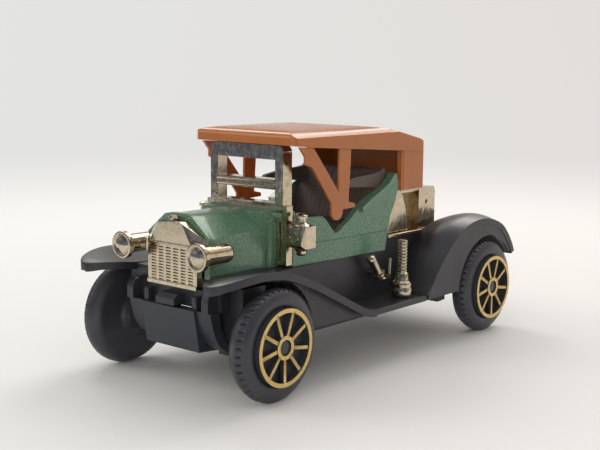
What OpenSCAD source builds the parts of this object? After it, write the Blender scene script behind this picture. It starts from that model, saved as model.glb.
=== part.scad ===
// Diecast collector car in the shape of a vintage tourer with a fixed hood.
// +X is the front of the car, +Y its left side and +Z is up.
// The four tyres stand on Z = 0 and all lengths are in millimetres.

/* [Wheels and axles] */
// distance from the front axle to the rear axle
wheelbase = 55.4; // [54:0.1:57]
// front axle, ahead of the middle of the car
front_axle_x = 27.2; // [26:0.1:28]
// outside diameter of a tyre
tyre_d = 16; // [15.6:0.1:16.2]
// outer face of a spoked wheel centre, from the middle of the car
spoke_face_y = 17.65; // [17.3:0.05:18]
// outer face of the tyre's side wall
tyre_face_y = 16.9; // [16.85:0.01:16.95]
// outer radius of the gold wheel ring
ring_r = 5.5; // [5:0.05:5.5]
// width of the gold wheel ring
ring_w = 0.6; // [0.4:0.05:0.8]
// outer radius of the gold ring around the hub
hub_ring_r = 1.7; // [1.5:0.05:2]
// radius of the black hub cap
hub_r = 1.1; // [0.9:0.05:1.2]
// spokes in a wheel
spoke_count = 9; // [6:1:12]
// width of a spoke
spoke_w = 0.52; // [0.4:0.02:0.7]
// notches around the tread of a tyre
notch_count = 44; // [24:1:60]
// diameter of the steel axle wire
axle_d = 2; // [1.6:0.1:2.4]
// space all round an axle in its bearing
axle_play = 0.05; // [0.02:0.01:0.1]

/* [Body casting] */
// half width of the bonnet
bonnet_y = 6.3; // [6:0.05:6.5]
// front of the bonnet
bonnet_front = 30.65; // [30.4:0.05:30.7]
// front of the cowl
cowl_front = 19.8; // [19:0.1:21]
// underside of the casting
body_z = 16.4; // [16.4:0.1:16.6]
// half width of the tub at the windscreen
tub_front_y = 8.35; // [8.3:0.05:8.5]
// growth of the tub's half width for each millimetre towards the rear
tub_flare = 0.06; // [0.04:0.01:0.06]
// wall of the casting
body_wall = 1; // [0.8:0.1:1.2]

/* [Hood] */
// half width of the hood
hood_y = 10.4; // [10.2:0.1:10.6]
// front edge of the hood
hood_front = 17.4; // [17.2:0.1:17.8]
// rear face of the hood
hood_rear = -16.8; // [-17:0.1:-16.6]
// wall of the hood
hood_wall = 1.1; // [0.9:0.1:1.2]
// underside of the hood where it rests on the windscreen
hood_rest_z = 34.5; // [34.4:0.05:34.55]
// lower edge of the rear curtain
curtain_z = 25.95; // [25.9:0.05:26.2]

/* [Windscreen] */
// half width of the windscreen
screen_y = 7.5; // [7.3:0.05:7.6]
// front face of the windscreen
screen_x = 16.6; // [16.4:0.05:16.8]
// depth of a windscreen post, front to rear
screen_depth = 2; // [1.6:0.1:2.1]
// width of a windscreen post
post_w = 1.6; // [1.4:0.1:1.8]

/* [Radiator and lamps] */
// front face of the radiator
radiator_x = 31.9; // [31.7:0.05:32]
// half width of the radiator
radiator_y = 5.05; // [4.9:0.05:5.1]
// slots across the grille
slot_columns = 6; // [4:1:8]
// slots up the grille
slot_rows = 12; // [8:1:14]
// middle of a headlamp from the middle of the car
headlamp_y = 7.75; // [7.75:0.05:7.9]
// height of a headlamp
headlamp_z = 20.25; // [20:0.05:20.5]
// radius of a headlamp rim
headlamp_r = 2; // [1.8:0.05:2.1]
// radius of a headlamp's barrel
barrel_r = 1.4; // [1.2:0.05:1.4]
// radius of a headlamp's domed lens
lens_r = 1.5; // [1.3:0.05:1.5]

/* [Fenders and running boards] */
// outer edge of the fenders
fender_y = 16.3; // [16:0.1:16.4]
// inner edge of the fenders
fender_in_y = 9.1; // [9.1:0.05:9.2]
// front tip of the fenders
fender_tip_x = 37.5; // [37:0.1:38]
// top face of the running boards
board_z = 9.3; // [9.2:0.05:9.4]
// thickness of the running boards
board_t = 0.9; // [0.7:0.1:1]
// thickness of a fender
fender_t = 1.1; // [0.9:0.1:1.3]
// radius of the wheel arches
arch_r = 9.1; // [8.8:0.1:9.4]

/* [Chassis] */
// half width of the chassis
chassis_y = 9.1; // [9.1:0.05:9.2]
// underside of the base plate
base_z = 5.5; // [5.4:0.05:5.6]

/* [Hidden] */
$fn = 48;
rear_axle_x = front_axle_x - wheelbase;
tyre_r = tyre_d / 2;
axle_z = tyre_r;
axle_r = axle_d / 2;
bearing_r = axle_r + axle_play;
tub_front = 15.2;
tub_rear = -10;
rivet_x = [22.6, -1];
floor_z = base_z + 0.9;
board_front = 4.5;
board_rear = -9.2;
green = [0.16, 0.42, 0.30];
gold = [0.83, 0.71, 0.46];
tan = [0.66, 0.40, 0.22];
black = [0.07, 0.07, 0.08];
dark_brown = [0.12, 0.10, 0.09];
steel = [0.7, 0.7, 0.72];

// side profile (x, z) drawn out between two widths
module along_y(y0, y1) {
    translate([0, y1, 0]) rotate([90, 0, 0]) linear_extrude(y1 - y0) children();
}

// end profile (y, z) drawn out between two stations
module along_x(x0, x1) {
    translate([x0, 0, 0]) rotate([90, 0, 90]) linear_extrude(x1 - x0) children();
}

module left_and_right() {
    children();
    mirror([0, 1, 0]) children();
}

module block(x, y, z) {
    translate([x[0], y[0], z[0]]) cube([x[1] - x[0], y[1] - y[0], z[1] - z[0]]);
}

module rod_y(x, z, r, y) {
    translate([x, y[1], z]) rotate([90, 0, 0]) cylinder(r = r, h = y[1] - y[0]);
}

module rod_x(y, z, r, x) {
    translate([x[0], y, z]) rotate([0, 90, 0]) cylinder(r = r, h = x[1] - x[0]);
}

module rod_z(x, y, r, z) {
    translate([x, y, z[0]]) cylinder(r = r, h = z[1] - z[0]);
}

function reversed(p) = [for (i = [len(p) - 1:-1:0]) p[i]];
function mirrored(p) = concat(p, [for (q = reversed(p)) [-q[0], q[1]]]);
function arc(x, z, r, a, b, n) =
    [for (i = [0:n]) let (t = a + (b - a) * i / n) [x + r * cos(t), z + r * sin(t)]];

// smooth curve through a list of points
function bend(a, b, c, d, t) =
    0.5 * (2 * b + (c - a) * t + (2 * a - 5 * b + 4 * c - d) * t * t
    + (3 * b - a - 3 * c + d) * t * t * t);
function smooth(p, steps) = concat(
    [for (i = [0:len(p) - 2], s = [0:steps - 1])
        bend(p[max(i - 1, 0)], p[i], p[i + 1], p[min(i + 2, len(p) - 1)], s / steps)],
    [p[len(p) - 1]]);

// closed skin over rings that each run along the top and back along the underside
module skin(rings) {
    n = len(rings[0]);
    m = len(rings);
    half = n / 2;
    points = [for (r = rings) each r];
    walls = [for (i = [0:m - 2], j = [0:n - 1], k = [0, 1])
        let (a = i * n + j, b = i * n + (j + 1) % n)
        k == 0 ? [a, a + n, b] : [b, a + n, b + n]];
    first = [for (j = [0:half - 2], k = [0, 1])
        k == 0 ? [j, j + 1, n - 1 - j] : [j + 1, n - 2 - j, n - 1 - j]];
    last = [for (f = first) [f[2] + (m - 1) * n, f[1] + (m - 1) * n, f[0] + (m - 1) * n]];
    polyhedron(points, concat(walls, first, last), convexity = 6);
}

// ---------------------------------------------------------------- wheels

tyre_profile = [[0, 12.2], [2.2, 12.2], [2.5, 13.3], [3.2, 13.6], [5.7, 13.6], [6.3, 13.45],
    [6.9, 13.5], [7.35, 13.8], [7.65, 14.3], [7.85, 14.75], [tyre_r, 15.2], [tyre_r, 15.8],
    [7.85, 16.1], [7.5, 16.4], [6.9, 16.75], [6.2, tyre_face_y], [5.75, 16.85], [5.55, 16.7],
    [5.55, 16.4], [hub_r, 16.4], [hub_r, 17.3], [0.9, 17.4], [0, 17.4]];

module wheel_left(x) {
    color(black) translate([x, 0, axle_z]) rotate([-90, 0, 0]) difference() {
        rotate_extrude($fn = 96) polygon(tyre_profile);
        translate([0, 0, 12]) cylinder(r = axle_r - 0.01, h = 4);
        for (i = [0:notch_count - 1]) rotate([0, 0, i * 360 / notch_count])
            translate([7.72, -0.14, 15.45]) cube([0.6, 0.28, 0.75]);
    }
}

module wheel_right(x) {
    mirror([0, 1, 0]) wheel_left(x);
}

module spokes_left(x) {
    color(gold) translate([x, 0, axle_z]) rotate([-90, 0, 0]) {
        difference() {
            translate([0, 0, 16.4]) cylinder(r = ring_r, h = spoke_face_y - 16.4, $fn = 96);
            translate([0, 0, 16]) cylinder(r = ring_r - ring_w, h = 2, $fn = 96);
        }
        difference() {
            translate([0, 0, 16.4]) cylinder(r = hub_ring_r, h = 1.15);
            translate([0, 0, 16]) cylinder(r = hub_r + 0.03, h = 2);
        }
        for (i = [0:spoke_count - 1]) rotate([0, 0, 90 + i * 360 / spoke_count])
            translate([hub_ring_r - 0.2, -spoke_w / 2, 16.4])
                cube([ring_r - ring_w - hub_ring_r + 0.4, spoke_w, 1]);
    }
}

module spokes_right(x) {
    mirror([0, 1, 0]) spokes_left(x);
}

module axle(x) {
    color(steel) rod_y(x, axle_z, axle_r, [-15.8, 15.8]);
}

// ---------------------------------------------------------------- body casting

bonnet_outer = [[bonnet_y, body_z], [bonnet_y, 22.5], [2.7, 24.8], [1.2, 25.15]];
bonnet_inner = [[5.3, body_z - 1], [5.3, 22], [2.4, 23.8], [1.2, 24]];
door_line = [[tub_front, body_z], [tub_front, 23.8], [13.7, 23.6], [8.9, 23.5], [8.1, 23],
    [6.9, 21.6], [5.8, 20.5], [5, 20.7], [2.4, 22.3]];
quarter_sweep = smooth([[0.4, 24], [-2.05, 25.3], [-4.7, 26.4], [-6.6, 27.4], [-7.9, 28.5],
    [-8.5, 29]], 4);
rear_edge = [[-9, 28.9], [-9.7, 27.2], [-8.95, 24.4], [-7.65, 22.1], [-6.9, 18.8], [-6.45, body_z]];

function tub_y(x, inset) = tub_front_y - inset + (tub_front - x) * tub_flare;

module tub_plan(inset) {
    polygon([[tub_front, -tub_y(tub_front, inset)], [tub_front, tub_y(tub_front, inset)],
        [tub_rear, tub_y(tub_rear, inset)], [tub_rear, -tub_y(tub_rear, inset)]]);
}

module tub() {
    intersection() {
        along_y(-12, 12) polygon(concat(door_line, quarter_sweep, rear_edge));
        translate([0, 0, 16]) linear_extrude(14) difference() {
            tub_plan(0);
            tub_plan(body_wall);
        }
    }
    along_y(-8.9, 8.9) polygon(concat(rear_edge,
        [for (p = reversed(rear_edge)) [p[0] + 0.85, p[1]]]));
    block([-6.2, tub_front], [-7.6, 7.6], [body_z, 17.2]);
}

module quarter_bead() {
    left_and_right() along_y(8.9, 10.05) polygon(concat(
        [for (p = quarter_sweep) p], [for (p = reversed(quarter_sweep)) [p[0] - 0.25, p[1] - 0.7]]));
}

module bonnet() {
    along_x(cowl_front, bonnet_front) difference() {
        polygon(mirrored(bonnet_outer));
        polygon(mirrored(bonnet_inner));
    }
    along_x(29.9, bonnet_front) difference() {
        polygon(mirrored([[6.32, body_z], [6.32, 22.6], [2.75, 25], [1.2, 25.3]]));
        polygon(mirrored([[5.3, body_z - 1], [5.3, 22], [2.2, 23.8], [1.2, 24]]));
    }
}

module cowl() {
    difference() {
        block([13.7, cowl_front], [-6.15, 6.15], [body_z, 24.9]);
        block([12, 14.7], [-7, 7], [17.2, 24.2]);
        block([16, 18.6], [-5, 5], [16, 23.9]);
        left_and_right() translate([18.2, 7.55, 16]) cylinder(r = 1.6, h = 7.9);
    }
    intersection() {
        along_x(13.7, cowl_front)
            polygon(mirrored([[7.35, 23.9], [7.35, 24.55], [4.8, 24.75], [3.2, 24.9]]));
        translate([0, 0, 20]) linear_extrude(8) polygon(concat(
            [[cowl_front, 3.2], [18.6, 4.4], [18.1, 4.9], [16.8, 7.35], [13.7, 7.35]],
            [[13.7, -7.35], [16.8, -7.35], [18.1, -4.9], [18.6, -4.4], [cowl_front, -3.2]]));
    }
}

module body_casting() {
    color(green) difference() {
        union() {
            bonnet();
            cowl();
            tub();
            quarter_bead();
            for (x = rivet_x) rod_z(x, 0, 2.4, [floor_z + 0.02, body_z + 0.8]);
            block([rivet_x[0] - 1, rivet_x[0] + 1], [-5.4, 5.4], [body_z, body_z + 1.6]);
        }
        translate([0, 0, 19.5]) linear_extrude(0.22) difference() {
            translate([-6.7, -12]) square([19, 24]);
            tub_plan(0.14);
        }
        for (x = rivet_x) rod_z(x, 0, 1, [6, 13]);
    }
}

module seat() {
    color(dark_brown) {
        block([-5.3, 13.6], [-7.2, 7.2], [17.2, 17.9]);
        block([-5.3, 2.5], [-7.6, 7.6], [17.9, 21.3]);
        along_y(-8.4, 8.4) polygon([[-5.3, 19.5], [-3.4, 21.3], [-5.2, 25.4], [-6.6, 29.4], [-7.3, 29.7],
            [-7.9, 29.5], [-7.85, 28.2], [-6.6, 24]]);
        left_and_right() along_y(7.5, 8.3) polygon([[4.1, 27.9], [3.6, 28.25], [0, 28.75], [-4.6, 29],
            [-7.2, 29.3], [-6.6, 26.2], [-4, 26.8], [0, 27.1], [3.9, 27.4]]);
    }
}

// ---------------------------------------------------------------- radiator and lamps

module grille_slots() {
    for (i = [0:slot_columns - 1], k = [0:slot_rows - 1])
        translate([radiator_x - 0.35, (i - (slot_columns - 1) / 2) * 1.52 - 0.5, 15.5 + k * 0.43])
            cube([1, 1, 0.2]);
}

module radiator() {
    color(gold) {
        difference() {
            union() {
                along_x(bonnet_front + 0.02, radiator_x) polygon(mirrored([[radiator_y, 14.9],
                    [radiator_y, 20.9], [4.25, 21.1], [2.5, 24], [2.1, 24.35]]));
                along_x(radiator_x - 0.5, radiator_x + 0.2) polygon(mirrored([[radiator_y, 14.9],
                    [radiator_y, 15.4], [4.9, 15.4]]));
            }
            grille_slots();
        }
        left_and_right() block([30.9, 31.8], [radiator_y - 0.3, 6.4], [19.7, 20.9]);
        left_and_right() rod_z(31.6, 5.45, 0.4, [19.5, 21.3]);
        hull() {
            along_x(bonnet_front + 0.02, bonnet_front + 0.03)
                polygon(mirrored([[6, 20.9], [6, 21.8], [2.5, 24.15], [2.1, 24.35]]));
            along_x(radiator_x + 0.39, radiator_x + 0.4)
                polygon(mirrored([[4.4, 20.9], [2.5, 24], [2.1, 24.35]]));
        }
        rod_y(radiator_x + 0.3, 21.05, 0.22, [-4.1, 4.1]);
    }
}

module radiator_cap() {
    color(gold) {
        rod_z(31.5, 0, 0.6, [24.35, 24.65]);
        translate([31.5, 0, 24.65]) cylinder(r1 = 0.84, r2 = 0.5, h = 0.45);
    }
}

module headlamp_left() {
    color(gold) translate([0, headlamp_y, headlamp_z]) {
        difference() {
            union() {
                rod_x(0, 0, headlamp_r, [33.9, 34.7]);
                rod_x(0, 0, barrel_r, [29.2, 34]);
            }
            translate([34.2, 0, 0]) rotate([0, 90, 0]) cylinder(r1 = 1.1, r2 = 1.62, h = 0.52);
        }
        translate([29.2, 0, 0]) rotate([0, -90, 0]) rotate_extrude()
            polygon(concat([[0, -0.1], [barrel_r, -0.1]], arc(0, 0, barrel_r, 0, 90, 10)));
        translate([34.1, 0, 0]) rotate([0, 90, 0]) rotate_extrude()
            polygon(concat([[0, 0]], [for (t = [0:10:90]) [lens_r * cos(t), 0.1 + 0.85 * sin(t)]]));
    }
}

module headlamp_right() {
    mirror([0, 1, 0]) headlamp_left();
}

module screen_outline() {
    polygon(concat([[-screen_y, 24.92], [screen_y, 24.92]],
        arc(screen_y - 1, hood_rest_z - 1, 1, 0, 90, 6),
        arc(1 - screen_y, hood_rest_z - 1, 1, 90, 180, 6)));
}

module windscreen() {
    inner_y = screen_y - post_w;
    color(gold) {
        difference() {
            along_x(screen_x - screen_depth, screen_x) screen_outline();
            block([14, 17], [-inner_y, inner_y], [29.4, 32.35]);
            block([14, 17], [-inner_y, inner_y], [25.9, 27.9]);
        }
        rod_y(screen_x, 28.25, 0.3, [-inner_y, inner_y]);
        rod_y(screen_x, 29.05, 0.3, [-inner_y, inner_y]);
        left_and_right() {
            block([15.25, screen_x], [7.38, 8.25], [16.7, 25.6]);
            block([15.25, screen_x], [7, 7.6], [24.92, 25.6]);
            difference() {
                block([15.25, screen_x], [6.2, 7.6], [16.7, 23.85]);
                block([16.3, 17], [6.75, 7.7], [17.2, 23.2]);
            }
            block([15.25, screen_x + 0.15], [6.2, 6.8], [16.5, 17.2]);
        }
    }
}

module side_lamp_left() {
    box = [[13.8, 9.1], [13.8, 11.3], [14.2, 11.9], [16.5, 11.9], [17, 11.4], [17, 9.1], [16.4, 8.27],
        [15.22, 8.27], [15.22, 8.46], [14.1, 8.46]];
    side = [[13.8, 20.2], [14.3, 19.6], [16.5, 19.6], [17, 20.1], [17, 22.5], [16.6, 22.9], [14.2, 22.9],
        [13.8, 22.5]];
    color(gold) difference() {
        union() {
            intersection() {
                translate([0, 0, 19.6]) linear_extrude(3.3) polygon(box);
                along_y(8, 12) polygon(side);
            }
            translate([15.3, 9.95, 22.9]) cylinder(r1 = 1.5, r2 = 1, h = 0.4);
            rod_z(15.3, 9.95, 0.8, [23.2, 24.1]);
            rod_z(15.3, 9.95, 1.05, [24, 24.45]);
            translate([15.3, 9.95, 24.45]) cylinder(r1 = 1.05, r2 = 0.6, h = 0.25);
            translate([15.3, 9.95, 19.1]) cylinder(r1 = 0.9, r2 = 1.3, h = 0.5);
            translate([15.3, 9.95, 18.35]) cylinder(r1 = 0.5, r2 = 0.85, h = 0.35);
            rod_z(15.3, 9.95, 0.85, [18.7, 19.1]);
            rod_x(10, 21.2, 0.9, [16.9, 17.2]);
        }
        rod_x(10, 21.2, 0.65, [17, 17.5]);
    }
}

module side_lamp_right() {
    mirror([0, 1, 0]) side_lamp_left();
}

// ---------------------------------------------------------------- hood

hood_top = smooth([[hood_front, 35.7], [17, 36.35], [15.5, 36.7], [11.5, 36.95], [4.3, 37], [-2, 36.75],
    [-6.2, 36.3], [-9, 35.7], [-12.8, 34.8], [-15, 34.3], [-16.3, 33.6], [hood_rear, 32.5]], 3);
hood_lower = [[hood_rear, 32.2], [-11.4, 32.5], [-9.9, 32.6], [4.2, 33.6], [13.4, 34.25],
    [hood_front, 34.65]];

hood_plan = concat(arc(hood_front - 1.3, hood_y - 1.3, 1.3, 0, 90, 6),
    arc(hood_rear + 1.3, hood_y - 1.3, 1.3, 90, 180, 6),
    arc(hood_rear + 1.3, 1.3 - hood_y, 1.3, 180, 270, 6),
    arc(hood_front - 1.3, 1.3 - hood_y, 1.3, 270, 360, 6));

module hood() {
    color(tan) difference() {
        intersection() {
            along_y(-hood_y, hood_y) polygon(concat(hood_top, hood_lower));
            along_x(hood_rear, hood_front) polygon(mirrored([[hood_y, 30], [hood_y, 35.2], [10.25, 35.7],
                [9.8, 36.15], [9, 36.45], [7, 36.75], [3.5, 36.95], [1.2, 37]]));
            translate([0, 0, 30]) linear_extrude(8) polygon(hood_plan);
        }
        along_y(hood_wall - hood_y, hood_y - hood_wall) polygon([[14.2, 30], [14.2, 35.4], [11, 35.7],
            [4.3, 35.75], [-6.2, 35.1], [-9, 34.5], [-12.8, 33.6], [-15.4, 32.9], [-15.7, 32.2],
            [-15.7, 30]]);
        block([14, 17], [-7.65, 7.65], [33, hood_rest_z]);
    }
}

module rear_curtain() {
    color(tan) {
        difference() {
            intersection() {
                block([hood_rear, -9.9], [-10.2, 10.2], [curtain_z, 34]);
                translate([0, 0, 20]) linear_extrude(20) polygon(hood_plan);
                along_y(-11, 11)
                    polygon([[-17, 20], [-17, 32.18], [-11.4, 32.48], [-9.8, 32.58], [-9.8, 20]]);
            }
            block([-15.7, -9], [-9.3, 9.3], [20, 40]);
        }
        left_and_right() rod_z(-10.65, 9.7, 0.7, [curtain_z, 32.45]);
    }
}

module hood_strut_left() {
    color(tan) {
        along_y(9.7, 10.15) difference() {
            polygon(concat([[15.9, 34.4], [14.6, 32.9], [14.6, 31.8], [12.9, 31.2], [8.25, 25.4],
                [8.25, 24.2]], arc(6.9, 24.1, 1.35, 0, -180, 10), [[5.55, 24.3], [2.5, 24.4], [2.5, 25],
                [4.2, 25.4], [3.75, 31.8], [3.7, 33.54], [6.55, 33.75], [12.7, 34.17]]));
            polygon([[6.5, 33.95], [12.9, 34.4], [12.5, 33.9], [6.6, 27.1]]);
        }
    }
}

module hood_strut_right() {
    mirror([0, 1, 0]) hood_strut_left();
}

// ---------------------------------------------------------------- rear fittings

module rear_deck() {
    color(gold) {
        block([-17, -7], [-9.95, 9.95], [18.3, 18.8]);
        block([-24.2, -16.5], [-9.05, 9.05], [18.3, 18.8]);
    }
}

module fuel_tank() {
    color(gold) along_y(-9, 9) polygon([[-7.05, 18.8], [-7.75, 22.1], [-9.05, 24.4], [-9.8, 26.9],
        [-10.8, 26.35], [-11.9, 25.7], [-12.55, 24.6], [-13.2, 23.15], [-13.6, 21.4], [-14, 18.8]]);
}

module trunk() {
    color(gold) {
        difference() {
            along_y(-8, 8) polygon(concat([[-23.4, 18.8], [-18.4, 18.8]], arc(-18.9, 25.1, 0.5, 0, 90, 4),
                arc(-22.4, 24.6, 1, 90, 180, 6)));
            left_and_right() rod_y(-20.7, 23, 0.35, [7.6, 9]);
        }
        block([-18.5, -14.02], [-5.5, 5.5], [18.8, 25]);
        left_and_right() block([-18.5, -12.3], [7.2, 7.9], [25.2, 25.6]);
        left_and_right() block([-18.5, -12.5], [5.4, 7.3], [24.9, 25.2]);
    }
}

module bulb_horn() {
    rib = 0.52;
    foot = [[0, board_z], [1.35, board_z], [1.6, 9.6], [1.65, 10.1], [1.65, 10.8], [1.45, 10.95],
        [1.6, 11.2], [1.55, 11.7], [1.2, 12], [1.05, 12.3], [1.05, 13.2], [0.8, 13.3]];
    ribs = [for (i = [0:9]) each [[0.7, 13.4 + i * rib], [0.82, 13.5 + i * rib], [0.82, 13.74 + i * rib],
        [0.7, 13.84 + i * rib]]];
    color(gold) translate([-5.8, 13.6, 0])
        rotate_extrude() polygon(concat(foot, ribs, [[0.7, 18.6], [0, 18.6]]));
}

module brake_lever() {
    color(gold) {
        rod_y(-2.9, 13.4, 0.6, [chassis_y, 10.9]);
        translate([-2.9, 10.9, 13.4]) sphere(r = 0.75);
        translate([-2.9, 10.9, 13.4]) rotate([0, 36, 0]) cylinder(r = 0.7, h = 3.2);
        translate([-0.9, 10.9, 15.7]) sphere(r = 0.72);
        translate([-3.3, 10.9, 12.9]) rotate([0, 36, 0]) cylinder(r = 1.05, h = 0.4);
        block([-6.2, -3], [10.6, 11.2], [12, 12.7]);
        translate([-5.9, 10.9, 12.2]) rotate([0, -4, 0]) cylinder(r = 0.3, h = 3.1);
    }
}

// ---------------------------------------------------------------- chassis, fenders, boards

module axle_bores() {
    for (x = [front_axle_x, rear_axle_x]) rod_y(x, axle_z, bearing_r, [-12, 12]);
}

module chassis() {
    shell = [[29.6, 15.5], [29.6, 12.2], [31.2, 12.2], [31.2, 14.85], [30.62, 14.85], [30.62, body_z],
        [-7, body_z], [-7, 18.3], [-24.2, 18.3], [-28.5, 17.8], [-32, 15.8], [-34, 12.6], [-34.4, 9],
        [-33.4, 9], [-33.1, 12.2], [-31.4, 14.9], [-28.2, 16.8], [-24.2, 17.2], [-20, 17.2], [-20, 15.5]];
    color(black) difference() {
        union() {
            along_y(-chassis_y, chassis_y) polygon(shell);
            left_and_right() along_y(chassis_y - 0.9, chassis_y) polygon([[18, 16], [18, 8.4], [-19, 8.4],
                [-19, 16]]);
            left_and_right() along_y(6.4, chassis_y)
                polygon([[30.6, 16], [30.6, 16.85], [20, 16.75], [20, 16]]);
            for (x = [front_axle_x, rear_axle_x])
                left_and_right() block([x - 2.3, x + 2.3], [5.6, 11.6], [axle_z, 15.6]);
            left_and_right() along_y(7.1, 8.4) polygon(concat([[30.5, 12.2], [33.1, 12.2]],
                arc(31.7, 13.8, 1.4, 0, 110, 8), [[30.5, 15]]));
            left_and_right() block([31.1, 32.4], [4.5, 5.4], [12.2, 14]);
            along_y(-1.9, 1.9) polygon([[31.1, 12.6], [33.4, 12.5], [33.4, 13.4], [32.6, 14], [31.1, 14]]);
        }
        axle_bores();
        for (x = rivet_x) rod_z(x, 0, 2.5, [4, body_z + 1]);
    }
}

fender_top = [[37.5, 17.35], [36, 17.9], [33.2, 18.4], [30.2, 18.6], [27.2, 18.4], [24.1, 17.7], [19.7, 16],
    [15.1, 13.8], [10.3, 11.4], [7.6, 10.1], [6, 9.5], [board_front, board_z]];
fender_inner = [17.25, 17.5, 17.35, 17, 16.85, 16.7, 16.1, 14.3, 11.9, 10.3, 9.6, board_z];

module front_fender_left() {
    line = smooth([for (i = [0:len(fender_top) - 1])
        [fender_top[i][0], fender_top[i][1], fender_inner[i]]], 4);
    across = [0, 0.12, 0.3, 0.5, 0.7, 0.88, 1];
    mid_y = 12.9;
    tip = 7;
    function spread(x) = x > fender_tip_x - tip
        ? sqrt(max(0.02, 1 - pow((x - fender_tip_x + tip) / tip, 2))) : 1;
    rings = [for (i = [0:len(line) - 1])
        let (p = line[i],
            q = line[min(i + 1, len(line) - 1)],
            o = line[max(i - 1, 0)],
            slope = (q[1] - o[1]) / (q[0] - o[0]),
            t = fender_t * sqrt(1 + slope * slope),
            y0 = mid_y - (mid_y - fender_in_y) * spread(p[0]),
            y1 = mid_y + (fender_y - mid_y) * spread(p[0]),
            top = [for (a = across) [p[0], y0 + (y1 - y0) * a, p[2] + (p[1] - p[2]) * a
                + 0.5 * a * (1 - a)]],
            low = [for (a = reversed(across)) [p[0], y0 + (y1 - y0) * a, p[2] + (p[1] - p[2]) * a
                + 0.5 * a * (1 - a) - t]])
        concat(top, low)];
    color(black) {
        skin(rings);
        along_y(14, 14.9) polygon(concat([for (p = line) if (p[0] < 22.5 && p[0] > 7) [p[0], p[1] - 0.5]],
            [[7, 8.5]], arc(front_axle_x, axle_z, arch_r, 176, 118, 8)));
    }
}

module front_fender_right() {
    mirror([0, 1, 0]) front_fender_left();
}

module running_board_left() {
    color(black) block([board_rear, board_front], [chassis_y, fender_y], [board_z - board_t, board_z]);
}

module running_board_right() {
    mirror([0, 1, 0]) running_board_left();
}

rear_outer = [[-9.2, 9.3], [-10.4, 10.3], [-13.3, 13.8], [-16.2, 16.4], [-19.2, 18.6], [-22.4, 19.8],
    [-25.6, 20.2], [-29, 19.9], [-32.6, 18.7], [-34.9, 16.9], [-36.6, 14.8], [-37.5, 13.2]];
rear_inner = [[-9.2, 9.3], [-10.1, 10.5], [-12.4, 13.9], [-14.8, 16.1], [-17.6, 18.1], [-20.9, 19.35],
    [-25.2, 19.85], [-29.2, 19.65], [-32.5, 18.7], [-35, 16.9], [-36.7, 14.9], [-37.5, 13.1]];

module rear_fender_left() {
    outer = smooth(rear_outer, 4);
    inner = smooth(rear_inner, 4);
    across = [[0, 0, 0], [0.15, 0.05, 0.4], [0.35, 0.15, 0.75], [0.55, 0.35, 0.8], [0.75, 0.6, 0.55],
        [0.9, 0.85, 0.2], [1, 1, 0]];
    function inward(p, d) = let (v = [rear_axle_x - p[0], 9 - p[1]]) p + v * d / norm(v);
    rings = [for (i = [0:len(outer) - 1])
        let (crown = min(1, i / 8, (len(outer) - 1 - i) / 8),
            top = [for (a = across) let (p = inner[i] * (1 - a[1]) + outer[i] * a[1],
                    q = inward(p, -a[2] * crown))
                [q[0], fender_in_y + (fender_y - fender_in_y) * a[0], q[1]]],
            low = [for (a = reversed(across)) let (p = inner[i] * (1 - a[1]) + outer[i] * a[1],
                    q = inward(p, fender_t + (i < 4 ? 0.3 : 0) - a[2] * crown))
                [max(q[0], -37.4), fender_in_y + (fender_y - fender_in_y) * a[0], q[1]]])
        concat(top, low)];
    color(black) {
        skin(rings);
        along_y(15.3, 16.2) polygon(concat([[-9.6, 8.5]],
            [for (p = outer) if (p[0] < -9.8 && p[0] > -37) inward(p, 0.4)],
            arc(rear_axle_x, axle_z, arch_r, 146, 3, 16)));
    }
}

module rear_fender_right() {
    mirror([0, 1, 0]) rear_fender_left();
}

// ---------------------------------------------------------------- base plate and rivets

module base_plate() {
    front = [[24.5, base_z], [31.9, 6], [33, 12.18], [31.3, 12.18], [30.7, floor_z + 0.4], [24.5, floor_z]];
    flank = concat([[32.6, 12.18]],
        smooth([[32.5, 11.4], [31.9, 9.3], [30.9, 7.4], [29.6, 6.3], [28.5, 5.9]], 3),
        [[28.5, 6.8], [29.3, 7.4], [30.4, 9.6], [30.8, 12.18]]);
    color(black) difference() {
        union() {
            block([-22, 24.6], [-8.1, 8.1], [base_z, floor_z]);
            along_y(-5.5, 5.5) polygon(front);
            left_and_right() along_y(5.4, 8.4) polygon(flank);
            left_and_right() block([24.5, 28.9], [6.4, 8.1], [base_z, axle_z - 0.02]);
            left_and_right() block([-30.3, -25.5], [5.6, 8.4], [base_z, axle_z - 0.02]);
            left_and_right() along_y(5.6, 8.4) polygon([[-21.9, base_z + 0.1], [-21.9, 6.6], [-27, 6.6],
                [-27, 4.6], [-24.6, 4.5], [-23.4, 4.9]]);
        }
        axle_bores();
        for (x = rivet_x) {
            rod_z(x, 0, 1.05, [4, 8]);
            rod_z(x, 0, 2.15, [4, base_z + 0.6]);
        }
    }
}

module rivet(x) {
    color(steel) {
        rod_z(x, 0, 1.01, [base_z + 0.4, 12.5]);
        translate([x, 0, base_z + 0.05]) cylinder(r1 = 1.6, r2 = 2, h = 0.5);
    }
}

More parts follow.
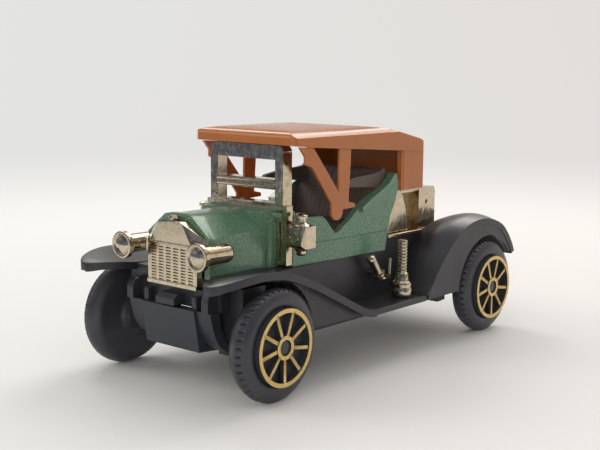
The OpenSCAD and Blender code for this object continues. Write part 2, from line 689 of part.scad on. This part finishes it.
body_casting();
seat();
radiator();
radiator_cap();
headlamp_left();
headlamp_right();
windscreen();
side_lamp_left();
side_lamp_right();
hood();
rear_curtain();
hood_strut_left();
hood_strut_right();
rear_deck();
fuel_tank();
trunk();
bulb_horn();
brake_lever();
chassis();
front_fender_left();
front_fender_right();
running_board_left();
running_board_right();
rear_fender_left();
rear_fender_right();
base_plate();
rivet(rivet_x[0]);  // rivet_front
rivet(rivet_x[1]);  // rivet_rear
axle(front_axle_x);  // front_axle
axle(rear_axle_x);  // rear_axle
wheel_left(front_axle_x);  // wheel_front_left
wheel_right(front_axle_x);  // wheel_front_right
wheel_left(rear_axle_x);  // wheel_rear_left
wheel_right(rear_axle_x);  // wheel_rear_right
spokes_left(front_axle_x);  // spokes_front_left
spokes_right(front_axle_x);  // spokes_front_right
spokes_left(rear_axle_x);  // spokes_rear_left
spokes_right(rear_axle_x);  // spokes_rear_right
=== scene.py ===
import math

import bmesh
import bpy
from mathutils import Matrix, Vector


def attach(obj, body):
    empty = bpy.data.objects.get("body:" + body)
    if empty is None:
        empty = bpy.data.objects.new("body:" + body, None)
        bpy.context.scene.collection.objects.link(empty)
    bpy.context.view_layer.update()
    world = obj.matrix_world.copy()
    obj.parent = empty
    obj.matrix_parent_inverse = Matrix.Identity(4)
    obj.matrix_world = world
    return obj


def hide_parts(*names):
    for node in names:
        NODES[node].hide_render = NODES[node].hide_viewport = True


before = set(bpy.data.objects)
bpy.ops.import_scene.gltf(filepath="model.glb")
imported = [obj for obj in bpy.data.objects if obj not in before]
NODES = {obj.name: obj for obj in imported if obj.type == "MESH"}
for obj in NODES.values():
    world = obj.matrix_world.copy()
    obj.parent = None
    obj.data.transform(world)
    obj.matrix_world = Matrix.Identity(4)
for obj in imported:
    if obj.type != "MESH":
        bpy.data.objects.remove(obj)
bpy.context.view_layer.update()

MM = 0.001
# The bands of a wave texture lie this far apart at scale 1.
BAND_GAP = 0.314
# Heading, on the floor, of the side where the paper is painted warmer, standing in for warm light; the other
# side is painted bluish, for cool light.
WARM_LIGHT_SIDE = (-0.65, 0.76, 0.0)
# What the lamps point at: the middle of the car.
AIM = (0.0, 0.0, 0.015)
# The camera stands ahead of the car on its left and looks slightly down; its angles are in degrees.
CAMERA_PLACE = (0.1338, 0.1101, 0.0463)
CAMERA_YAW, CAMERA_PITCH, CAMERA_ROLL = 40.258, 8.568, 0.573


# ---------------------------------------------------------------- colour and node helpers

def linear(code):
    """sRGB hex to linear RGBA."""
    parts = [int(code[i:i + 2], 16) / 255 for i in (1, 3, 5)]
    return tuple(c / 12.92 if c <= 0.04045 else ((c + 0.055) / 1.055) ** 2.4 for c in parts) + (1.0,)


def per(size_mm):
    """Pattern scale whose features are size_mm across."""
    return 1.0 / (size_mm * MM)


def add(tree, kind, values=None, links=None, **settings):
    """Adds one node with its settings, input values and incoming links.

    A colour Mix has inputs 0 (share), 6 and 7 (colours), and its colour is output 2.
    """
    made = tree.nodes.new("ShaderNode" + kind)
    for key, value in settings.items():
        setattr(made, key, value)
    for key, value in (values or {}).items():
        made.inputs[key].default_value = value
    for key, socket in (links or {}).items():
        tree.links.new(socket, made.inputs[key])
    return made


def new_material(name):
    """A node material and the coordinates of its piece, in metres."""
    made = bpy.data.materials.new(name)
    made.use_nodes = True
    made.node_tree.nodes.clear()
    return made, made.node_tree, add(made.node_tree, "TexCoord").outputs["Object"]


# ---------------------------------------------------------------- materials

def green_enamel():
    """Metallic green stoving enamel sprayed on a zinc casting: fine flake, with painted pale glints, under a
    smooth glossy skin.
    """
    made, tree, place = new_material("green_enamel")
    # Real flake is about 0.03 mm; it is drawn three times coarser, so that it shows.
    flake = add(tree, "TexVoronoi", {"Scale": per(0.09)}, {"Vector": place})
    level = add(tree, "SeparateColor", links={"Color": flake.outputs["Color"]}).outputs["Red"]
    drift = add(tree, "TexNoise", {"Scale": per(3.0), "Detail": 3.0}, {"Vector": place}).outputs["Fac"]
    base = add(tree, "Mix", {6: linear("#264A3B"), 7: linear("#2F5747")}, {0: drift}, data_type="RGBA")
    # Flake tone is part real flake and part painted glint: each cell is painted between dark green and a
    # pale highlight.
    flake_and_painted_glint = add(tree, "Mix", {6: linear("#204533"), 7: linear("#A4CFA6")}, {0: level}, data_type="RGBA")
    paint = add(tree, "Mix", {0: 0.35}, {6: base.outputs[2], 7: flake_and_painted_glint.outputs[2]}, data_type="RGBA")
    sag = add(tree, "TexNoise", {"Scale": per(1.3), "Detail": 1.0}, {"Vector": place}).outputs["Fac"]
    skin = add(tree, "Bump", {"Strength": 0.5, "Distance": 0.014 * MM}, {"Height": sag}).outputs["Normal"]
    gloss = add(tree, "MapRange", {"To Min": 0.34, "To Max": 0.5}, {"Value": level}).outputs["Result"]
    shader = add(tree, "BsdfPrincipled", {"Metallic": 0.18, "Coat Weight": 0.6, "Coat Roughness": 0.08},
                 {"Base Color": paint.outputs[2], "Normal": skin, "Roughness": gloss})
    add(tree, "OutputMaterial", links={"Surface": shader.outputs["BSDF"]})
    return made


def tan_plastic():
    """Tan polypropylene moulded in a polished tool: waxy, with a pale sheen at grazing angles."""
    made, tree, place = new_material("tan_plastic")
    drift = add(tree, "TexNoise", {"Scale": per(5.0), "Detail": 3.0}, {"Vector": place}).outputs["Fac"]
    base = add(tree, "Mix", {6: linear("#97592B"), 7: linear("#A66637")}, {0: drift}, data_type="RGBA")
    grain = add(tree, "TexNoise", {"Scale": per(0.12), "Detail": 2.0}, {"Vector": place}).outputs["Fac"]
    wave = add(tree, "TexNoise", {"Scale": per(2.2), "Detail": 1.0}, {"Vector": place}).outputs["Fac"]
    sink = add(tree, "Bump", {"Strength": 0.5, "Distance": 0.03 * MM}, {"Height": wave}).outputs["Normal"]
    skin = add(tree, "Bump", {"Strength": 0.3, "Distance": 0.006 * MM},
               {"Height": grain, "Normal": sink}).outputs["Normal"]
    gloss = add(tree, "MapRange", {"To Min": 0.16, "To Max": 0.3}, {"Value": drift}).outputs["Result"]
    wax = {"Subsurface Weight": 0.4, "Subsurface Radius": (1.0, 0.55, 0.3), "Subsurface Scale": 1.5 * MM}
    shader = add(tree, "BsdfPrincipled", wax,
                 {"Base Color": base.outputs[2], "Normal": skin, "Roughness": gloss})
    add(tree, "OutputMaterial", links={"Surface": shader.outputs["BSDF"]})
    return made


def plated_plastic():
    """Vacuum metallised styrene under a pale gold lacquer: mirror bright, rippled by the moulding below."""
    made, tree, place = new_material("plated_plastic")
    mottle = add(tree, "TexNoise", {"Scale": per(0.8), "Detail": 4.0}, {"Vector": place}).outputs["Fac"]
    tone = add(tree, "MapRange", {"From Min": 0.3, "From Max": 0.7}, {"Value": mottle}).outputs["Result"]
    base = add(tree, "Mix", {6: linear("#BCAB8E"), 7: linear("#D4C9B4")}, {0: tone}, data_type="RGBA")
    swell = add(tree, "TexNoise", {"Scale": per(1.1), "Detail": 2.0}, {"Vector": place}).outputs["Fac"]
    ripple = add(tree, "Bump", {"Strength": 0.5, "Distance": 0.04 * MM}, {"Height": swell}).outputs["Normal"]
    dust = add(tree, "TexNoise", {"Scale": per(0.16), "Detail": 2.0}, {"Vector": place}).outputs["Fac"]
    skin = add(tree, "Bump", {"Strength": 0.35, "Distance": 0.006 * MM},
               {"Height": dust, "Normal": ripple}).outputs["Normal"]
    gloss = add(tree, "MapRange", {"From Min": 0.3, "From Max": 0.7, "To Min": 0.1, "To Max": 0.22},
                {"Value": mottle}).outputs["Result"]
    shader = add(tree, "BsdfPrincipled", {"Metallic": 1.0},
                 {"Base Color": base.outputs[2], "Normal": skin, "Roughness": gloss})
    add(tree, "OutputMaterial", links={"Surface": shader.outputs["BSDF"]})
    return made


def gold_foil():
    """Gold hot-stamping foil pressed on the raised wheel faces: softly metallic and slightly grainy."""
    made, tree, place = new_material("gold_foil")
    drift = add(tree, "TexNoise", {"Scale": per(0.8), "Detail": 3.0}, {"Vector": place}).outputs["Fac"]
    base = add(tree, "Mix", {6: linear("#C6A55F"), 7: linear("#DFC486")}, {0: drift}, data_type="RGBA")
    grain = add(tree, "TexNoise", {"Scale": per(0.07), "Detail": 1.0}, {"Vector": place}).outputs["Fac"]
    skin = add(tree, "Bump", {"Strength": 0.4, "Distance": 0.004 * MM}, {"Height": grain}).outputs["Normal"]
    gloss = add(tree, "MapRange", {"To Min": 0.34, "To Max": 0.5}, {"Value": drift}).outputs["Result"]
    shader = add(tree, "BsdfPrincipled", {"Metallic": 0.6},
                 {"Base Color": base.outputs[2], "Normal": skin, "Roughness": gloss})
    add(tree, "OutputMaterial", links={"Surface": shader.outputs["BSDF"]})
    return made


def dark_moulding(name, low, high, smooth, dull, grain_mm, depth_mm, pleat_mm=None):
    """Moulded thermoplastic between two tones, with the tool's grain and the sinks of a thick wall."""
    made, tree, place = new_material(name)
    drift = add(tree, "TexNoise", {"Scale": per(4.0), "Detail": 3.0}, {"Vector": place}).outputs["Fac"]
    base = add(tree, "Mix", {6: linear(low), 7: linear(high)}, {0: drift}, data_type="RGBA")
    grain = add(tree, "TexNoise", {"Scale": per(grain_mm), "Detail": 2.0}, {"Vector": place}).outputs["Fac"]
    wave = add(tree, "TexNoise", {"Scale": per(2.5), "Detail": 1.0}, {"Vector": place}).outputs["Fac"]
    sink = add(tree, "Bump", {"Strength": 0.5, "Distance": 0.03 * MM}, {"Height": wave}).outputs["Normal"]
    skin = add(tree, "Bump", {"Strength": 0.4, "Distance": depth_mm * MM},
               {"Height": grain, "Normal": sink}).outputs["Normal"]
    if pleat_mm:
        pleats = add(tree, "TexWave", {"Scale": BAND_GAP * per(pleat_mm)}, {"Vector": place},
                     bands_direction="Y")
        skin = add(tree, "Bump", {"Strength": 0.9, "Distance": 0.12 * MM},
                   {"Height": pleats.outputs["Fac"], "Normal": skin}).outputs["Normal"]
    gloss = add(tree, "MapRange", {"From Min": 0.3, "From Max": 0.7, "To Min": smooth, "To Max": dull},
                {"Value": drift}).outputs["Result"]
    shader = add(tree, "BsdfPrincipled",
                 links={"Base Color": base.outputs[2], "Normal": skin, "Roughness": gloss})
    add(tree, "OutputMaterial", links={"Surface": shader.outputs["BSDF"]})
    return made


def bare_metal(name, low, high, smooth, dull):
    """Bare metal whose fine marks run across the car, which is along the axle wires."""
    made, tree, place = new_material(name)
    along = add(tree, "Mapping", {"Scale": (1.0, 0.08, 1.0)}, {"Vector": place}).outputs["Vector"]
    marks = add(tree, "TexNoise", {"Scale": per(0.08), "Detail": 3.0}, {"Vector": along}).outputs["Fac"]
    base = add(tree, "Mix", {6: linear(low), 7: linear(high)}, {0: marks}, data_type="RGBA")
    gloss = add(tree, "MapRange", {"To Min": smooth, "To Max": dull}, {"Value": marks}).outputs["Result"]
    shader = add(tree, "BsdfPrincipled", {"Metallic": 1.0},
                 {"Base Color": base.outputs[2], "Roughness": gloss})
    add(tree, "OutputMaterial", links={"Surface": shader.outputs["BSDF"]})
    return made


ENAMEL = green_enamel()
TAN = tan_plastic()
PLATING = plated_plastic()
FOIL = gold_foil()
# Black ABS from a polished tool: glossy, with broad soft reflections.
FENDER_BLACK = dark_moulding("fender_black_plastic", "#222226", "#28282C", 0.3, 0.42, 0.5, 0.008)
# Black-grey ABS from a spark-eroded tool: satin.
BASE_GREY = dark_moulding("base_grey_plastic", "#23272D", "#2A2E35", 0.42, 0.52, 0.12, 0.01)
# Dark brown polypropylene: dull, moulded with the upright pleats of a buttoned seat.
SEAT_BROWN = dark_moulding("seat_brown_plastic", "#4E433C", "#594D46", 0.45, 0.6, 0.15, 0.012, pleat_mm=1.1)
# Black polypropylene of the one-piece wheels: satin, slightly greasy.
WHEEL_BLACK = dark_moulding("wheel_black_plastic", "#2D2D32", "#34343A", 0.3, 0.42, 0.1, 0.006)
# Bright drawn steel wire.
STEEL = bare_metal("axle_steel", "#B9BABB", "#D5D6D6", 0.2, 0.35)
# Zinc posts spun over into heads.
RIVET = bare_metal("rivet_zinc", "#9A9C9E", "#BFC1C2", 0.3, 0.5)


# ---------------------------------------------------------------- geometry helpers

def new_piece(name, mesh, node, body="car"):
    """A visible piece that stands in for a node and moves with its body."""
    made = bpy.data.objects.new(name, mesh)
    bpy.context.scene.collection.objects.link(made)
    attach(made, body)
    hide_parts(node)
    return made


def softened(node, name, coat, edge_mm, body="car", angle=28, segments=3, smooth=35, reshape=None):
    """The CAD shape of a node with its moulded or cast edges rounded."""
    mesh = bpy.data.meshes.new(name)
    shape = bmesh.new()
    shape.from_mesh(NODES[node].data)
    bmesh.ops.remove_doubles(shape, verts=shape.verts, dist=1e-6)
    if reshape:
        reshape(shape)
    shape.to_mesh(mesh)
    shape.free()
    mesh.materials.clear()
    mesh.materials.append(coat)
    made = new_piece(name, mesh, node, body)
    if edge_mm:
        edges = made.modifiers.new("rounded_edges", "BEVEL")
        edges.width = edge_mm * MM
        edges.segments = segments
        edges.limit_method = "ANGLE"
        edges.angle_limit = math.radians(angle)
        edges.use_clamp_overlap = True
    for face in mesh.polygons:
        face.use_smooth = True
    mesh.set_sharp_from_angle(angle=math.radians(smooth))
    weigh = made.modifiers.new("even_normals", "WEIGHTED_NORMAL")
    weigh.keep_sharp = True
    return made


def droop_bonnet(shape):
    """Lowers the bonnet's shoulders towards the radiator, so that its upper sides taper."""
    front, flank, fall = 29.5 * MM, 6 * MM, 0.45 * MM
    shoulder_low, shoulder_high = 22.4 * MM, 22.7 * MM
    for v in shape.verts:
        if v.co.x > front and abs(v.co.y) > flank and shoulder_low < v.co.z < shoulder_high:
            v.co.z -= fall


def foil_the_raised_faces(relief):
    """Puts the gold foil, as a second material, on the faces that look outwards."""
    outwards = 0.7
    relief.data.materials.append(FOIL)
    for face in relief.data.polygons:
        if abs(face.normal.y) > outwards:
            face.material_index = 1


# ---------------------------------------------------------------- pieces

softened("body_casting", "body_painted", ENAMEL, 0.2, reshape=droop_bonnet)
softened("seat", "seat_moulding", SEAT_BROWN, 0.25)
softened("radiator", "radiator_plated", PLATING, 0.05)
softened("radiator_cap", "radiator_cap_plated", PLATING, 0.08)
for side in ("left", "right"):
    softened(f"headlamp_{side}", f"headlamp_{side}_plated", PLATING, 0.08, smooth=50)
    softened(f"side_lamp_{side}", f"side_lamp_{side}_plated", PLATING, 0.1)
    softened(f"hood_strut_{side}", f"hood_strut_{side}_moulded", TAN, 0.15)
    softened(f"front_fender_{side}", f"front_fender_{side}_moulded", FENDER_BLACK, 0.3,
             angle=45, smooth=50)
    softened(f"rear_fender_{side}", f"rear_fender_{side}_moulded", FENDER_BLACK, 0.3,
             angle=45, smooth=50)
    softened(f"running_board_{side}", f"running_board_{side}_moulded", FENDER_BLACK, 0.15)
softened("windscreen", "windscreen_plated", PLATING, 0.2, segments=2)
softened("hood", "hood_moulded", TAN, 0.5, segments=4, smooth=60)
softened("rear_curtain", "rear_curtain_moulded", TAN, 0.15, smooth=50)
softened("rear_deck", "rear_deck_plated", PLATING, 0.1)
softened("fuel_tank", "fuel_tank_plated", PLATING, 0.4)
softened("trunk", "trunk_plated", PLATING, 0.2)
softened("bulb_horn", "bulb_horn_plated", PLATING, 0)
softened("brake_lever", "brake_lever_plated", PLATING, 0.06)
softened("chassis", "chassis_moulded", FENDER_BLACK, 0.35)
softened("base_plate", "base_plate_moulded", BASE_GREY, 0.45)
softened("rivet_front", "rivet_front_spun", RIVET, 0.08)
softened("rivet_rear", "rivet_rear_spun", RIVET, 0.08)
for end in ("front", "rear"):
    body = f"{end}_wheels"
    softened(f"{end}_axle", f"{end}_axle_wire", STEEL, 0, body)
    for side in ("left", "right"):
        softened(f"wheel_{end}_{side}", f"wheel_{end}_{side}_moulded", WHEEL_BLACK, 0, body)
        relief = softened(f"spokes_{end}_{side}", f"spokes_{end}_{side}_foiled", WHEEL_BLACK,
                          0, body)
        foil_the_raised_faces(relief)


# ---------------------------------------------------------------- studio

def turned(profile, start, stop, steps, name, coat):
    """Surface swept round the middle of the floor between two headings in degrees."""
    shape = bmesh.new()
    rows = []
    for k in range(steps + 1):
        t = math.radians(start + (stop - start) * k / steps)
        rows.append([shape.verts.new((r * math.cos(t), r * math.sin(t), z)) for r, z in profile])
    for row, after in zip(rows, rows[1:]):
        for i in range(len(profile) - 1):
            shape.faces.new((row[i], row[i + 1], after[i + 1], after[i]))
    mesh = bpy.data.meshes.new(name)
    shape.to_mesh(mesh)
    shape.free()
    for face in mesh.polygons:
        face.use_smooth = True
    mesh.materials.append(coat)
    made = bpy.data.objects.new(name, mesh)
    bpy.context.scene.collection.objects.link(made)
    return made


def lit_paper():
    """Seamless paper: matt on the floor, evenly lit from behind where it sweeps up; tinted bluish on one
    side and warm on the other as painted light.
    """
    made, tree, place = new_material("seamless_paper")
    reach = add(tree, "VectorMath", links={0: place}, operation="LENGTH").outputs["Value"]
    rise = add(tree, "MapRange", {"From Min": 0.13, "From Max": 0.27}, {"Value": reach},
               interpolation_type="SMOOTHSTEP").outputs["Result"]
    side = add(tree, "VectorMath", {1: WARM_LIGHT_SIDE}, {0: place}, operation="DOT_PRODUCT").outputs["Value"]
    warm_light_share = add(tree, "MapRange", {"From Min": -0.3, "From Max": 0.3}, {"Value": side}).outputs["Result"]
    # Painted tint of the light: paper and glow are drawn bluish on one side and warm on the other.
    paper_with_painted_tint = add(tree, "Mix", {6: linear("#D5D9DB"), 7: linear("#D8D3CE")}, {0: warm_light_share}, data_type="RGBA")
    lit = add(tree, "Mix", {6: linear("#E4E6E5"), 7: linear("#E1DCD8")}, {0: warm_light_share}, data_type="RGBA")
    matt = add(tree, "BsdfDiffuse", links={"Color": paper_with_painted_tint.outputs[2]})
    glow = add(tree, "Emission", links={"Color": lit.outputs[2]})
    both = add(tree, "MixShader", links={0: rise, 1: matt.outputs["BSDF"], 2: glow.outputs["Emission"]})
    add(tree, "OutputMaterial", links={"Surface": both.outputs["Shader"]})
    return made


def reflected(name, low, high):
    """A dim surface that only mirrors and gloss pick up."""
    made, tree, place = new_material(name)
    patch = add(tree, "TexNoise", {"Scale": per(250.0), "Detail": 1.0}, {"Vector": place}).outputs["Fac"]
    tone = add(tree, "Mix", {6: linear(low), 7: linear(high)}, {0: patch}, data_type="RGBA")
    shader = add(tree, "Emission", links={"Color": tone.outputs[2]})
    add(tree, "OutputMaterial", links={"Surface": shader.outputs["Emission"]})
    return made


def only_in_gloss(piece):
    """Hides a surface from everything but reflections."""
    piece.visible_camera = False
    piece.visible_diffuse = False
    piece.visible_shadow = False
    piece.visible_transmission = False


def softbox(name, place, size, power, tone):
    """A soft area lamp of the given watts, pointed at the car."""
    lamp = bpy.data.lights.new(name, "AREA")
    lamp.shape = "RECTANGLE"
    lamp.size, lamp.size_y = size
    lamp.energy = power
    lamp.color = linear(tone)[:3]
    made = bpy.data.objects.new(name, lamp)
    bpy.context.scene.collection.objects.link(made)
    made.location = place
    made.rotation_mode = "QUATERNION"
    made.rotation_quaternion = (Vector(AIM) - Vector(place)).to_track_quat("-Z", "Y")
    made.visible_camera = False


sweep = turned([(0.0001, 0), (0.06, 0), (0.12, 0), (0.2, 0.004), (0.3, 0.015), (0.45, 0.05), (0.6, 0.13),
                (0.75, 0.3), (0.85, 0.6), (0.9, 1.1)], 0, 360, 96, "studio_sweep", lit_paper())
sweep.visible_shadow = False
# The warm room above the paper, and the dim one in front of it.
only_in_gloss(turned([(0.62, 0.11), (0.7, 0.25), (0.7, 0.4)], 100, 300, 60, "studio_room_behind",
                     reflected("room_behind", "#5E4633", "#96704F")))
only_in_gloss(turned([(0.175, 0.0005), (0.25, 0.06), (0.36, 0.25), (0.4, 0.6)], -80, 100, 60,
                     "studio_room_ahead", reflected("room_ahead", "#3A3F50", "#737C94")))
softbox("key_behind", (-0.5, -0.08, 0.48), (0.4, 0.4), 2.2, "#FFFAF4")
softbox("key_left", (-0.25, -0.5, 0.6), (0.3, 0.3), 1.5, "#FFFDF8")
softbox("fill_left", (0.5, -0.55, 0.4), (0.35, 0.35), 1.6, "#FFF6EC")
softbox("fill_front", (0.5, 0.36, 0.14), (0.3, 0.2), 1.15, "#FFF9F2")

world = bpy.data.worlds.new("studio_air")
bpy.context.scene.world = world
world.use_nodes = True
world.node_tree.nodes["Background"].inputs["Color"].default_value = linear("#F2F3F4")
world.node_tree.nodes["Background"].inputs["Strength"].default_value = 0.8

lens = bpy.data.cameras.new("studio_camera")
lens.sensor_width = 36.0
lens.lens = 63.81
lens.clip_start, lens.clip_end = 0.01, 5.0
camera = bpy.data.objects.new("studio_camera", lens)
bpy.context.scene.collection.objects.link(camera)
yaw, pitch, roll = (math.radians(a) for a in (CAMERA_YAW, CAMERA_PITCH, CAMERA_ROLL))
ahead = Vector((-math.cos(yaw) * math.cos(pitch), -math.sin(yaw) * math.cos(pitch), -math.sin(pitch)))
across = ahead.cross(Vector((0, 0, 1))).normalized()
up = across.cross(ahead)
right = across * math.cos(roll) + up * math.sin(roll)
top = up * math.cos(roll) - across * math.sin(roll)
turn = Matrix((right, top, -ahead)).transposed().to_4x4()
camera.matrix_world = Matrix.Translation(CAMERA_PLACE) @ turn
bpy.context.scene.camera = camera
bpy.context.scene.view_settings.view_transform = "Standard"
